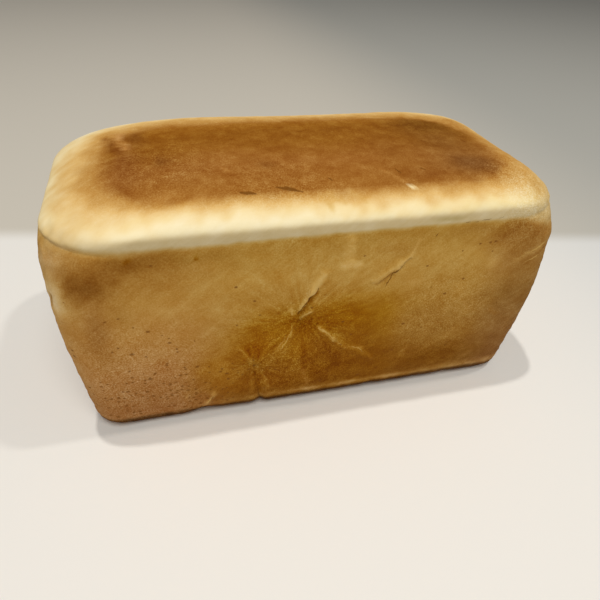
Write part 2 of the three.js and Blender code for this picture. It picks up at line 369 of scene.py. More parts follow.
crease_depth = (CREASE_DEPTH + CORNER_FOLD["depth"] * near(CORNER_FOLD)) * (1 - near(CREASE_END))
end_turn = y / END_WAVES["y"] + x / END_WAVES["x"] + END_WAVES["start"]
relief = crossed(WALL_WAVES, z / WALL_WAVES["z"]) + END_WAVES["rise"] * np.sin(end_turn)
relief -= crease_depth * bell(z - CREASE_HEIGHT, CREASE_HALF_WIDTH)
for swell in SWELLS:
    relief += swell["rise"] * near(swell) * bell(z - swell["z"], swell["half_height"])
relief += toward["front"] * rise_of(FRONT_STROKES, x + jag_a, z + jag_b)
relief += toward["back"] * rise_of(BACK_STROKES, x + jag_a, z + jag_b)
relief += toward["left"] * rise_of(LEFT_STROKES, y + jag_a, z + jag_b)
relief += toward["right"] * rise_of(RIGHT_STROKES, y + jag_a, z + jag_b)
relief *= 1 - up_shoulder
small_rise = SMALL_SPOTS["rise"] + SMALL_SPOTS["further"] * sum(map(near, ROUGH_CORNERS))
relief += LARGE_SPOTS["rise"] * speckle(LARGE_SPOTS["size"], 1)
relief += small_rise * speckle(SMALL_SPOTS["size"], 2)
relief *= off_base

wave = crossed(SHOULDER_WAVES, y / SHOULDER_WAVES["y"]) * up_shoulder
lift = 0
for side, lifts in LIFTS.items():
    on_side = (y < 0) if side == "front" else (y > 0)
    for one in lifts:
        lift = lift + on_side * one["lift"] * bell(x - one["at"], one["half_width"])
inset_share = fade(np.abs(y), LIFT_INSET["none"], LIFT_INSET["full"])
lift = lift * np.maximum(0, 1 - z / LIFT_REACH) * inset_share

placed = np.array([x, y, z + lift + wave]) + relief * out
middle = (placed.min(axis=1) + placed.max(axis=1)) / 2
placed[:2] -= middle[:2, None]
loaf.data.vertices.foreach_set("co", (placed.T * MM).ravel())
loaf.data.update()
bpy.ops.object.shade_smooth()


# ---- The loaf: how each place is baked ----
# The tin and the lid browned the dough that touched them, most where it pressed
# hardest. The shoulder touched neither and stayed cream, and the folds, which
# stood off the tin, stayed pale. Over that go painted shade, on the upright band
# of the shoulder, under one fold and under the turn of the base, and painted
# light along that turn. Places are (x, z), (y, z) or (x, y), as above.
CREAM = (0.92, 0.82, 0.55)
BUTTER = (0.89, 0.75, 0.40)
# The next tone is cream in painted shade, for the upright band over the crease.
SHADED_CREAM = (0.66, 0.53, 0.30)
WHEAT = (0.78, 0.61, 0.35)
PALE = (0.76, 0.52, 0.20)
BISCUIT = (0.64, 0.40, 0.14)
HONEY = (0.62, 0.38, 0.11)
FAWN = (0.56, 0.37, 0.17)
TOAST = (0.56, 0.31, 0.10)
GOLD = (0.56, 0.32, 0.068)
TAN = (0.46, 0.22, 0.055)
RUSSET = (0.34, 0.15, 0.024)
AMBER = (0.34, 0.12, 0.002)
CHESTNUT = (0.26, 0.088, 0.002)
RUST = (0.20, 0.068, 0.009)

# How each wall's tone changes with height, darker towards the base. Two corners,
# one across from the other, are more tan than the middle of the walls, and the
# other two are browner. Below, a colour or a cover comes on from where there is
# none of it to where it is full.
WALL_TONES = {
    "middle": [
        (8, (0.26, 0.11, 0.014)),
        (20, (0.265, 0.10, 0.007)),
        (34, (0.345, 0.16, 0.023)),
        (50, (0.425, 0.22, 0.042)),
        (68, (0.50, 0.275, 0.056)),
        (86, (0.555, 0.32, 0.070)),
        (100, (0.48, 0.265, 0.048)),
    ],
    "tan corners": [
        (8, (0.36, 0.155, 0.046)),
        (20, (0.41, 0.195, 0.060)),
        (38, (0.49, 0.245, 0.076)),
        (60, (0.525, 0.275, 0.072)),
        (80, (0.525, 0.285, 0.064)),
        (98, (0.42, 0.21, 0.038)),
    ],
    "brown corners": [
        (8, (0.26, 0.115, 0.030)),
        (30, (0.295, 0.14, 0.036)),
        (60, (0.31, 0.155, 0.034)),
        (80, (0.37, 0.185, 0.040)),
        (98, (0.37, 0.175, 0.034)),
    ],
}
TAN_CORNER = {"at": (-117, -60), "none": 84, "full": 42}
BROWN_CORNER = {"at": (117, -60), "none": 46, "full": 18}
FACES_OUT = {"none": 0.15, "full": 0.6}

# Soft patches and narrow streaks, each with its tone and how thickly it covers
# its middle. A streak ends at so many half widths.
STREAK_ENDS = 1.5
FRONT_PATCHES = [
    {"at": (0, 24), "reach": (30, 12), "tone": (0.24, 0.079, 0.002), "cover": 0.85},
    {"at": (20, 20), "reach": (14, 12), "tone": (0.215, 0.07, 0.002), "cover": 0.7},
    {"at": (14, 41), "reach": (17, 12), "tone": (0.32, 0.118, 0.004), "cover": 0.85},
    {"at": (10, 57), "reach": (20, 9), "tone": (0.32, 0.115, 0.0015), "cover": 0.95},
    {"at": (24, 52), "reach": (8, 12), "tone": (0.34, 0.14, 0.004), "cover": 0.6},
    {"at": (26, 32), "reach": (9, 12), "tone": (0.27, 0.10, 0.004), "cover": 0.7},
    {"at": (-14, 42), "reach": (11, 14), "tone": AMBER, "cover": 0.8},
    {"at": (-24, 54), "reach": (14, 10), "tone": (0.36, 0.14, 0.003), "cover": 0.85},
    {"at": (-34, 43), "reach": (9, 10), "tone": (0.33, 0.11, 0.0015), "cover": 0.95},
    {"at": (-32, 22), "reach": (20, 10), "tone": (0.29, 0.10, 0.004), "cover": 0.8},
    {"at": (-50, 34), "reach": (10, 14), "tone": (0.39, 0.16, 0.010), "cover": 0.7},
    {"at": (-60, 12), "reach": (8, 6), "tone": (0.33, 0.13, 0.025), "cover": 0.6},
    {"at": (-9, 56), "reach": (8, 5), "tone": (0.28, 0.09, 0.001), "cover": 0.9},
    {"at": (60, 20), "reach": (18, 7), "tone": (0.215, 0.08, 0.004), "cover": 0.65},
    {"at": (82, 16), "reach": (10, 10), "tone": (0.22, 0.09, 0.012), "cover": 0.6},
    {"at": (-60, 99), "reach": (16, 2.5), "tone": (0.40, 0.21, 0.035), "cover": 0.6},
    {"at": (-82, 98), "reach": (13, 5), "tone": (0.28, 0.115, 0.014), "cover": 0.85},
    {"at": (-113, 97), "reach": (10, 7), "tone": FAWN, "cover": 0.9},
    {"at": (-101, 89), "reach": (9.5, 7.5), "tone": (0.205, 0.074, 0.008), "cover": 0.95},
    {"at": (-92, 94), "reach": (9, 5), "tone": (0.33, 0.14, 0.022), "cover": 0.5},
    {"at": (-101, 66), "reach": (7, 18), "tone": (0.36, 0.165, 0.036), "cover": 0.85},
    {"at": (-90, 76), "reach": (6, 8), "tone": (0.42, 0.21, 0.042), "cover": 0.5},
    {"at": (-114.5, 81), "reach": (5.5, 8), "tone": WHEAT, "cover": 1},
    {"at": (-115, 45), "reach": (5, 40), "tone": TOAST, "cover": 0.5},
    {"at": (84, 94), "reach": (14, 7), "tone": (0.34, 0.15, 0.026), "cover": 0.8},
    {"at": (88, 80), "reach": (10, 10), "tone": (0.38, 0.18, 0.036), "cover": 0.6},
    {"at": (30, 92), "reach": (10, 6), "tone": (0.46, 0.24, 0.044), "cover": 0.6},
    {"at": (68, 99), "reach": (12, 3), "tone": (0.38, 0.19, 0.034), "cover": 0.5},
    {"at": (80, 80), "reach": (4.5, 3), "tone": PALE, "cover": 0.45},
    {"at": (67, 67), "reach": (4, 4), "tone": PALE, "cover": 0.25},
    {"at": (40, 74), "reach": (5, 3), "tone": HONEY, "cover": 0.5},
    {"at": (-72, 72), "reach": (8, 5), "tone": HONEY, "cover": 0.25},
    {"at": (-83, 100), "reach": (1.6, 1.3), "tone": CHESTNUT, "cover": 0.9},
    {"at": (-58, 98), "reach": (1.2, 1.5), "tone": CHESTNUT, "cover": 0.8},
]
FRONT_STREAKS = [
    {"from": (-13, 62), "to": (-6.5, 74), "half_width": 1.1, "tone": CHESTNUT, "cover": 0.7},
    {"from": (-9, 75), "to": (-4, 83), "half_width": 2, "tone": PALE, "cover": 0.8},
    {"from": (-14, 65), "to": (-9, 75), "half_width": 1.1, "tone": PALE, "cover": 0.7},
    {"from": (-18, 66), "to": (-17, 62), "half_width": 1.2, "tone": PALE, "cover": 0.6},
    {"from": (-12.5, 59.5), "to": (-8.5, 63), "half_width": 1.1, "tone": HONEY, "cover": 0.8},
    {"from": (-16.5, 56), "to": (-18, 49), "half_width": 1.3, "tone": HONEY, "cover": 0.5},
    {"from": (-18, 48), "to": (-22, 41), "half_width": 2.6, "tone": HONEY, "cover": 0.35},
    {"from": (-24, 42), "to": (-25, 36), "half_width": 1.2, "tone": GOLD, "cover": 0.4},
    {"from": (-4, 52.5), "to": (4, 43.5), "half_width": 1.2, "tone": HONEY, "cover": 0.7},
    {"from": (4, 43.5), "to": (11, 37), "half_width": 1.3, "tone": HONEY, "cover": 0.35},
    {"from": (11, 37), "to": (19, 34.5), "half_width": 1.8, "tone": HONEY, "cover": 0.45},
    {"from": (19, 34.5), "to": (27, 25), "half_width": 1.5, "tone": GOLD, "cover": 0.35},
    {"from": (87, 49.5), "to": (93, 46.5), "half_width": 1.3, "tone": RUSSET, "cover": 0.6},
    {"from": (74, 45), "to": (80, 43), "half_width": 1.3, "tone": RUSSET, "cover": 0.5},
    {"from": (6, 100), "to": (7, 91), "half_width": 3.2, "tone": PALE, "cover": 0.5},
    {"from": (5, 87), "to": (11, 86), "half_width": 2.4, "tone": PALE, "cover": 0.75},
    {"from": (36, 88), "to": (30, 83.5), "half_width": 1.4, "tone": PALE, "cover": 0.45},
    {"from": (30, 83.5), "to": (20.5, 77), "half_width": 1.9, "tone": PALE, "cover": 0.45},
    {"from": (38.5, 96), "to": (36, 88), "half_width": 0.8, "tone": PALE, "cover": 0.5},
    # This dark streak is painted shadow, in the groove under the long fold's ridge.
    {"from": (29, 79.5), "to": (22, 73.5), "half_width": 1, "tone": RUSSET, "cover": 0.4},
    {"from": (-42, 46), "to": (-36, 36), "half_width": 0.9, "tone": HONEY, "cover": 0.5},
    {"from": (-36, 35), "to": (-33, 30), "half_width": 1.8, "tone": HONEY, "cover": 0.4},
    {"from": (-35, 29), "to": (-36, 12), "half_width": 0.9, "tone": GOLD, "cover": 0.4},
    {"from": (-31, 28), "to": (-27, 14), "half_width": 0.9, "tone": GOLD, "cover": 0.35},
    {"from": (-34, 27), "to": (-31.5, 12), "half_width": 0.8, "tone": CHESTNUT, "cover": 0.6},
    {"from": (-54, 17), "to": (-58, 10), "half_width": 1.1, "tone": PALE, "cover": 0.6},
    {"from": (-67, 18), "to": (-68, 16), "half_width": 1.2, "tone": PALE, "cover": 0.5},
    {"from": (-10, 24), "to": (-7, 14), "half_width": 1.8, "tone": TAN, "cover": 0.5},
    {"from": (43, 24), "to": (45, 30), "half_width": 1.8, "tone": HONEY, "cover": 0.3},
    {"from": (62, 30), "to": (72, 40), "half_width": 1.5, "tone": HONEY, "cover": 0.25},
    {"from": (92, 80), "to": (104, 86), "half_width": 1.3, "tone": HONEY, "cover": 0.5},
]
BACK_PATCHES = [
    {"at": (-4, 26), "reach": (34, 12), "tone": CHESTNUT, "cover": 0.7},
    {"at": (10, 52), "reach": (30, 14), "tone": AMBER, "cover": 0.8},
    {"at": (30, 42), "reach": (14, 12), "tone": (0.33, 0.11, 0.004), "cover": 0.8},
    {"at": (-46, 32), "reach": (16, 14), "tone": AMBER, "cover": 0.5},
    {"at": (98, 90), "reach": (11, 8), "tone": RUSSET, "cover": 0.9},
    {"at": (74, 98), "reach": (20, 4), "tone": RUSSET, "cover": 0.6},
    {"at": (-84, 96), "reach": (18, 6), "tone": RUSSET, "cover": 0.7},
    {"at": (66, 72), "reach": (8, 5), "tone": HONEY, "cover": 0.4},
]
BACK_STREAKS = [
    {"from": (20, 70), "to": (8, 86), "half_width": 2, "tone": PALE, "cover": 0.6},
    {"from": (26, 56), "to": (36, 38), "half_width": 1.8, "tone": HONEY, "cover": 0.6},
    {"from": (14, 56), "to": (2, 40), "half_width": 1.8, "tone": HONEY, "cover": 0.6},
    {"from": (-52, 78), "to": (-38, 88), "half_width": 1.8, "tone": PALE, "cover": 0.5},
    {"from": (23, 65), "to": (18, 60), "half_width": 3.4, "tone": CHESTNUT, "cover": 0.7},
]
LEFT_PATCHES = [
    {"at": (2, 50), "reach": (24, 15), "tone": AMBER, "cover": 0.7},
    {"at": (10, 22), "reach": (30, 12), "tone": CHESTNUT, "cover": 0.7},
    {"at": (40, 92), "reach": (14, 7), "tone": RUSSET, "cover": 0.7},
    {"at": (-53, 81), "reach": (7, 8), "tone": WHEAT, "cover": 1},
    {"at": (-52, 97), "reach": (11, 7), "tone": FAWN, "cover": 0.9},
    {"at": (-52, 45), "reach": (8, 40), "tone": TOAST, "cover": 0.5},
]
LEFT_STREAKS = [
    {"from": (12, 66), "to": (26, 74), "half_width": 2, "tone": PALE, "cover": 0.5},
    {"from": (-12, 40), "to": (-24, 30), "half_width": 1.8, "tone": HONEY, "cover": 0.5},
    {"from": (-53, 81), "to": (-51, 76.5), "half_width": 1.2, "tone": RUSSET, "cover": 0.8},
]
RIGHT_PATCHES = [
    {"at": (2, 54), "reach": (24, 15), "tone": AMBER, "cover": 0.7},
    {"at": (-8, 20), "reach": (30, 12), "tone": CHESTNUT, "cover": 0.7},
    {"at": (44, 90), "reach": (12, 7), "tone": RUSSET, "cover": 0.7},
    {"at": (-46, 84), "reach": (8, 4), "tone": HONEY, "cover": 0.6},
]
RIGHT_STREAKS = [
    {"from": (-52, 87), "to": (-36, 81), "half_width": 1.8, "tone": PALE, "cover": 0.6},
    {"from": (-52, 91), "to": (-40, 88), "half_width": 1.1, "tone": RUSSET, "cover": 0.6},
    {"from": (12, 36), "to": (24, 28), "half_width": 1.8, "tone": HONEY, "cover": 0.5},
]
# The top browned more towards the back, as (y, tone).
TOP_TONES = [
    (-47, (0.335, 0.14, 0.024)),
    (-25, (0.315, 0.125, 0.022)),
    (-5, (0.27, 0.102, 0.010)),
    (12, (0.26, 0.096, 0.008)),
    (20, (0.29, 0.112, 0.010)),
    (28, (0.34, 0.14, 0.017)),
]
TOP_PATCHES = [
    {"at": (72, -6), "reach": (20, 30), "tone": (0.22, 0.09, 0.017), "cover": 0.7},
    {"at": (74, 17), "reach": (20, 12), "tone": (0.165, 0.06, 0.005), "cover": 0.8},
    {"at": (38, -24), "reach": (13, 26), "tone": (0.26, 0.10, 0.015), "cover": 0.55},
    {"at": (-82, -10), "reach": (6, 32), "tone": (0.25, 0.09, 0.016), "cover": 0.8},
    {"at": (-77, 17), "reach": (4, 10), "tone": (0.18, 0.06, 0.006), "cover": 0.8},
    {"at": (-42, -14), "reach": (22, 14), "tone": (0.36, 0.155, 0.032), "cover": 0.6},
    {"at": (-66, -14), "reach": (2.6, 5), "tone": RUST, "cover": 0.8},
    {"at": (-23, -27), "reach": (4, 4), "tone": RUST, "cover": 0.5},
    {"at": (72, -36), "reach": (14, 9), "tone": (0.19, 0.078, 0.020), "cover": 0.8},
    {"at": (48, -43), "reach": (12, 5), "tone": (0.23, 0.08, 0.012), "cover": 0.7},
    {"at": (54, -32), "reach": (7, 5), "tone": (0.33, 0.15, 0.036), "cover": 0.5},
    {"at": (-70, -47), "reach": (12, 3.5), "tone": (0.47, 0.24, 0.06), "cover": 0.8},
]
SHOULDER_PATCHES = [
    {"at": (102, -50), "reach": (10, 9), "tone": (0.54, 0.31, 0.085), "cover": 0.65},
    {"at": (115, -46), "reach": (7, 14), "tone": BISCUIT, "cover": 0.7},
    {"at": (100, -26), "reach": (12, 16), "tone": (0.50, 0.26, 0.062), "cover": 0.45},
    {"at": (-106, -52), "reach": (10, 9), "tone": (0.66, 0.43, 0.16), "cover": 0.5},
    {"at": (94, 22), "reach": (7, 9), "tone": (0.40, 0.18, 0.034), "cover": 0.6},
    {"at": (-92, 24), "reach": (6, 6), "tone": (0.42, 0.19, 0.036), "cover": 0.6},
    {"at": (-116, 44), "reach": (8, 16), "tone": BISCUIT, "cover": 0.5},
]
TOP_STREAKS = [
    {"from": (-90, 20), "to": (-85, -2), "half_width": 2, "tone": RUST, "cover": 0.7},
    {"from": (-85, 24), "to": (-82, 3), "half_width": 2.3, "tone": (0.52, 0.27, 0.085), "cover": 0.95},
    {"from": (-42, -27), "to": (-40, -31), "half_width": 1.2, "tone": TAN, "cover": 0.6},
    {"from": (35.5, -50.2), "to": (37, -50.4), "half_width": 0.8, "tone": CREAM, "cover": 1},
    {"from": (26, -36), "to": (34, -48), "half_width": 0.7, "tone": TAN, "cover": 0.5},
    {"from": (-6, -52), "to": (-2, -57), "half_width": 1.6, "tone": HONEY, "cover": 0.45},
    {"from": (-2, -51), "to": (4, -56), "half_width": 1.3, "tone": HONEY, "cover": 0.4},
    {"from": (8, -51), "to": (13, -55), "half_width": 1.6, "tone": HONEY, "cover": 0.4},
]
# The browned top: where it ends, how uneven its edge is, and how far past that
# the crust turns cream.
TOP_BROWN = {"x": (-87, 88), "y": (-48.3, 25), "corner": 26}
TOP_EDGE_STRAY = {"x": 0.5, "y": 0.28}
TOP_EDGE_FADE = {"none": 0.22, "full": 0}
TURNS_CREAM = {"left": 30, "right": 33, "front": 9, "back": 27}
UNEVEN_TURN = {"size": 6, "share": 0.25}
GOLDEN_FRONT = {"none": -12, "full": 12, "further": 2}
SHOULDER_TONES = [
    (0, (0.32, 0.13, 0.024)),
    (0.3, (0.52, 0.28, 0.072)),
    (0.6, (0.73, 0.48, 0.18)),
    (0.95, (0.87, 0.70, 0.38)),
    (1.3, CREAM),
]
# The cream is more buttery to the right. The top's streaks start this far up
# the shoulder.
BUTTERY = {"none": 0.7, "full": 1.2, "cover": 0.6}
BUTTERY_RIGHT = {"none": -20, "full": 90}
STREAKS_FROM = 0.4
# The turn of the base has a pale rim of painted light, as the table throws light
# back onto it, and painted shade under that, where it almost meets the table.
EDGE_BOUNCE_LIGHT = {"z": 8.8, "half_width": 1.7, "tone": (0.62, 0.38, 0.15), "cover": 0.85}
EDGE_BOUNCE_LIGHT_RIGHT = {"none": -70, "full": 20, "least": 0.3}
EDGE_BOUNCE_LIGHT_SPOTS = {"size": 9, "middle": 0.85, "by": 0.5}
UNDER_EDGE_SHADE = {"none": 6.9, "full": 5.4, "tone": (0.09, 0.038, 0.009)}
UNDER_EDGE_SHADE_COVER = {"all round": 0.3, "in front": 0.6}
EDGE_JAG = {"pale": 0.6, "under": 0.4}
# The upright band over the crease is painted in shade, where the shoulder turns
# down away from the light, duller than the rest of the shoulder and a little
# darker to the left. It is smudged in one place.
SHADED_BAND = {"none": 109.5, "full": 106.5, "cover": 0.95}
SHADED_BAND_LEFT = {"none": 20, "full": -70, "dimmer": 0.09}
SMUDGE = {"at": (50, 105.6), "reach": (7, 1.3), "tone": (0.46, 0.35, 0.14), "cover": 0.7}
# The wall's colour ends at the crease, and lower and more softly at one corner.
# The shoulder's is deeper where it goes under.
DROOP = {"at": (112, -52), "reach": 17, "by": 8}
SOFT_ENDS = [
    {"at": (112, -52), "reach": 20, "softer": 2.2},
    {"at": (-108, -54), "reach": 34, "softer": 1.6},
]
WALL_EDGE = {"none": -1.4, "full": 1.6, "stray": 0.3}
IN_CREASE = {"none": 1, "full": -1, "tone": (0.60, 0.43, 0.19), "cover": 0.8}
BASE_TONE = (0.42, 0.20, 0.045)
FACES_DOWN = {"none": 0.75, "full": 0.95}


def blend(paint, tone, cover):
    """Lays a tone over the paint, as thickly as cover says, so that halves stay rich."""
    return paint ** (1 - cover) * np.reshape(tone, (3, -1)) ** cover


def comes_on(value, over):
    return fade(value, over["none"], over["full"])


def tone_at(stops, value):
    """The tone for each value, between stops of a value and its tone."""
    values = [stop for stop, tone in stops]
    return np.array([np.interp(value, values, [tone[i] for stop, tone in stops]) for i in range(3)])


def bake(paint, where, a, b, patches, streaks):
    """Lays one side's patches and then its streaks over the paint, where it faces."""
    for patch in patches:
        off_a = (a + stray_a - patch["at"][0]) / patch["reach"][0]
        off_b = (b + stray_b - patch["at"][1]) / patch["reach"][1]
        cover = patch["cover"] * bell(np.hypot(off_a, off_b), 1)
        paint = blend(paint, patch["tone"], where * cover)
    for streak in streaks:
        distance = off_stroke(a + jag_a, b + jag_b, streak["from"], streak["to"])
        cover = streak["cover"] * fade(distance, streak["half_width"] * STREAK_ENDS, 0)
        paint = blend(paint, streak["tone"], where * cover)
    return paint


def off_corners(corner):
    """Distance from a corner, or from the one across the loaf from it."""
    here = np.hypot(x - corner["at"][0], y - corner["at"][1])
    across = np.hypot(x + corner["at"][0], y + corner["at"][1])
    return np.minimum(here, across) + stray_a


facing = {side: comes_on(weight, FACES_OUT) for side, weight in toward.items()}
height = z + stray_b
walls = tone_at(WALL_TONES["middle"], height)
for corner, tones in ((TAN_CORNER, "tan corners"), (BROWN_CORNER, "brown corners")):
    walls = blend(walls, tone_at(WALL_TONES[tones], height), comes_on(off_corners(corner), corner))
walls = bake(walls, facing["front"], x, z, FRONT_PATCHES, FRONT_STREAKS)
walls = bake(walls, facing["back"], x, z, BACK_PATCHES, BACK_STREAKS)
walls = bake(walls, facing["left"], y, z, LEFT_PATCHES, LEFT_STREAKS)
walls = bake(walls, facing["right"], y, z, RIGHT_PATCHES, RIGHT_STREAKS)

# A pale rim of painted light, thrown back from the table, along the turn of the base.
spots = EDGE_BOUNCE_LIGHT_SPOTS["middle"] + EDGE_BOUNCE_LIGHT_SPOTS["by"] * speckle(EDGE_BOUNCE_LIGHT_SPOTS["size"], 11)
edge_bounce_light = bell(z - EDGE_BOUNCE_LIGHT["z"] - EDGE_JAG["pale"] * jag_b, EDGE_BOUNCE_LIGHT["half_width"])
edge_bounce_light *= np.clip(spots * comes_on(x, EDGE_BOUNCE_LIGHT_RIGHT), EDGE_BOUNCE_LIGHT_RIGHT["least"], 1)
walls = blend(walls, EDGE_BOUNCE_LIGHT["tone"], EDGE_BOUNCE_LIGHT["cover"] * edge_bounce_light)
# Painted shade under the turn of the base, where it almost meets the table, deepest in front.
under_edge_shade = UNDER_EDGE_SHADE_COVER["all round"] + UNDER_EDGE_SHADE_COVER["in front"] * facing["front"]
under_edge_shade *= comes_on(z - EDGE_JAG["under"] * jag_b, UNDER_EDGE_SHADE)
walls = blend(walls, UNDER_EDGE_SHADE["tone"], under_edge_shade)

# How far each place is outside the top's brown, from 0 at it to 1 where it is cream.
half_x = (TOP_BROWN["x"][1] - TOP_BROWN["x"][0]) / 2 - TOP_BROWN["corner"]
half_y = (TOP_BROWN["y"][1] - TOP_BROWN["y"][0]) / 2 - TOP_BROWN["corner"]
from_x = x + TOP_EDGE_STRAY["x"] * stray_a - sum(TOP_BROWN["x"]) / 2
from_y = y + TOP_EDGE_STRAY["y"] * stray_b - sum(TOP_BROWN["y"]) / 2
over_x = np.maximum(0, np.abs(from_x) - half_x)
over_y = np.maximum(0, np.abs(from_y) - half_y)
over = np.hypot(over_x, over_y)
golden = GOLDEN_FRONT["further"] * comes_on(x, GOLDEN_FRONT)
reach_x = np.where(from_x < 0, TURNS_CREAM["left"], TURNS_CREAM["right"])
reach_y = np.where(from_y < 0, TURNS_CREAM["front"] + golden, TURNS_CREAM["back"])
reach = (reach_x * over_x**2 + reach_y * over_y**2 + 1e-6) / (over**2 + 1e-7)
past_brown = np.maximum(0, (over - TOP_BROWN["corner"]) / reach)
past_brown = past_brown * (1 + UNEVEN_TURN["share"] * speckle(UNEVEN_TURN["size"], 12))

top = tone_at(TOP_TONES, y + stray_b)
top = bake(top, 1, x, y, TOP_PATCHES, [])
shoulder = tone_at(SHOULDER_TONES, past_brown)
buttery = BUTTERY["cover"] * comes_on(past_brown, BUTTERY) * comes_on(x, BUTTERY_RIGHT)
shoulder = blend(shoulder, BUTTER, buttery)
top = blend(shoulder, top, comes_on(past_brown, TOP_EDGE_FADE))
top = bake(top, 1, x, y, SHOULDER_PATCHES, [])
top = bake(top, up_shoulder > STREAKS_FROM, x, y, [], TOP_STREAKS)

# Painted shade on the upright band over the crease, deeper to the left.
shaded_band = comes_on(z, SHADED_BAND) * (toward["front"] + toward["back"])
top = blend(top, SHADED_CREAM, SHADED_BAND["cover"] * shaded_band)
top = top * (1 - SHADED_BAND_LEFT["dimmer"] * shaded_band * comes_on(x, SHADED_BAND_LEFT))
smudge = bell(x - SMUDGE["at"][0] + jag_a, SMUDGE["reach"][0]) * toward["front"]
smudge *= bell(z - SMUDGE["at"][1], SMUDGE["reach"][1])
top = blend(top, SMUDGE["tone"], SMUDGE["cover"] * smudge)
top = blend(top, IN_CREASE["tone"], IN_CREASE["cover"] * comes_on(z - CREASE_HEIGHT, IN_CREASE))
soft = 1 + sum(end["softer"] * near(end) for end in SOFT_ENDS)
under_crease = CREASE_HEIGHT - z - WALL_EDGE["stray"] * stray_b - DROOP["by"] * near(DROOP)
on_wall = fade(under_crease, WALL_EDGE["none"] * soft, WALL_EDGE["full"] * soft)
paint = blend(top, walls, on_wall)
paint = blend(paint, BASE_TONE, comes_on(-out[2], FACES_DOWN))

# Where the crust is pocked with dark specks, and where its grain is coarse, as
# (centre, reach, share there). Only the long sides are pocked, and not high up.
POCKED = [
    ((-64, -58, 14), 22, 0.5),
    ((-48, -58, 28), 12, 0.4),
    ((-98, -55, 18), 20, 0.45),
    ((-90, -58, 50), 30, 0.06),
    ((70, -60, 100), 26, 0.04),
    ((60, 58, 20), 30, 0.2),
]
LEAST_POCKED = 0.01
POCKED_SIDES = {"none": 0.3, "full": 0.6}
POCKED_HEIGHT = {"none": 98, "full": 92}
COARSE = [
    ((-86, -58, 34), 40, 1.0),
    ((-14, -60, 40), 42, 1.0),
    ((60, -60, 50), 40, 0.8),
    ((-66, -20, 118), 34, 0.8),
    ((-20, -46, 118), 36, 0.7),
    ((92, -48, 108), 26, 1.1),
    ((20, 60, 40), 46, 1.0),
    ((-112, 0, 40), 40, 0.8),
    ((112, 0, 40), 40, 0.8),
]
LEAST_COARSE = 0.35
# The cream is smoother, except to the right.
SMOOTH_CREAM = {"none": 0.4, "full": 1, "smoother": 0.8}
SMOOTH_LEFT = {"none": 90, "full": 70}


def near_places(places, value):
    for centre, reach, most in places:
        distance = np.sqrt(sum((row - c) ** 2 for row, c in zip((x, y, z), centre)))
        value = np.maximum(value, most * bell(distance, reach))
    return value


pocked = near_places(POCKED, LEAST_POCKED * on_wall) * comes_on(z, POCKED_HEIGHT)
pocked = pocked * comes_on(toward["front"] + toward["back"], POCKED_SIDES)
coarse = near_places(COARSE, LEAST_COARSE * np.ones(len(x)))
smooth = SMOOTH_CREAM["smoother"] * comes_on(past_brown, SMOOTH_CREAM)
coarse = coarse * (1 - smooth * (1 - on_wall) * comes_on(x, SMOOTH_LEFT))

given = loaf.data.attributes.new("baked", "FLOAT_COLOR", "POINT")
with_alpha = np.vstack([np.clip(paint, 0, 1), np.ones(len(x))]).T
given.data.foreach_set("color", with_alpha.astype(np.float32).ravel())
for name, value in {"pocked": pocked, "coarse": coarse}.items():
    given = loaf.data.attributes.new(name, "FLOAT", "POINT")
    given.data.foreach_set("value", value.astype(np.float32))


# ---- The loaf: its crust ----
# Dry, matt bread crust with a fine suede-like grain, in lighter and darker
# mottles. Here and there it has specks, wrinkles and fine cracks.
CRACK_TONE = (0.15, 0.052, 0.004)
POCK_TONE = (0.20, 0.07, 0.010)
# Each crack runs through points of (x, z) on the front, or (x, y) on the top,
# with its half width at each.
FRONT_CRACKS = [
    [(36, 87.4, 0.1), (32.5, 82.6, 0.2), (29, 78.2, 0.25), (26.4, 71.6, 0.05)],
    [(31, 81.5, 0.05), (27, 78.5, 0.18), (22.5, 75, 0.05)],
    [(-6, 76, 0.15), (-9, 71, 0.35), (-12.2, 66.7, 0.35), (-14, 61.5, 0.4)],
    [(46.8, 98.6, 0.1), (46.2, 97, 0.2)],
    [(59, 102.6, 0.05), (61, 102.7, 0.12)],
    [(63.5, 102.8, 0.05), (65, 103, 0.15)],
    [(67, 103, 0.1), (70, 103.4, 0.2), (71, 103.4, 0.1)],
    [(75, 103.8, 0.05), (77, 104, 0.12)],
    [(-34.3, 28, 0.2), (-33.4, 20, 0.2), (-31.6, 8, 0.45)],
]
TOP_CRACKS = [
    [(-37.2, -48.2, 0.4), (-34.5, -48.6, 0.85), (-31.7, -48.9, 0.3)],
    [(-22.5, -46.2, 0.4), (-18, -47.2, 0.9), (-12.6, -49.2, 0.3)],
    [(1, -41.5, 0.3), (1.6, -43, 0.3)],
    [(33.6, -37, 0.2), (34.4, -40.5, 0.3)],
    [(45, -38.5, 0.2), (46.5, -40, 0.3)],
]
